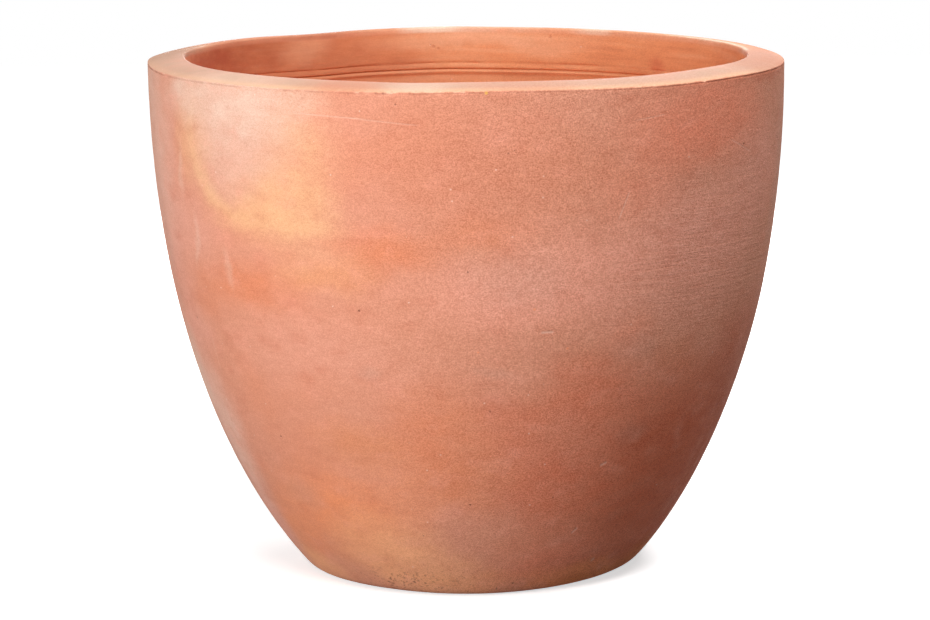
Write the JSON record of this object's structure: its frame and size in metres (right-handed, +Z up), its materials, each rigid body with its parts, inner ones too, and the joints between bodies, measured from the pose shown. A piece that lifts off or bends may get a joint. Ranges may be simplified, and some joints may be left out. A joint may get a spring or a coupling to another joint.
{
  "type": "flower pot",
  "caption": "Hand-built terracotta flower pot with a full belly, narrow foot, thick crowned rim and drain hole, in clay sections on tongue-and-groove seams.",
  "frame": {"origin": "on the ground at the centre of the foot ring", "axes": "+Z up along the axis of the pot; X and Y lie in the ground plane, and the pictured side faces -Y"},
  "size_m": [0.5, 0.5, 0.407],
  "materials": {
    "wall_clay": "bare fired terracotta, wiped and sandy, with pale bloom",
    "rim_clay": "bare fired terracotta, sponged smooth, worn pale on the crest",
    "floor_clay": "bare fired terracotta, coarse and gritty"
  },
  "bodies": {
    "root": {"base_slab": "floor_clay", "lower_wall": "wall_clay", "upper_wall": "wall_clay", "rim_collar": "rim_clay", "floor_coil": "floor_clay"}
  },
  "joints": []
}
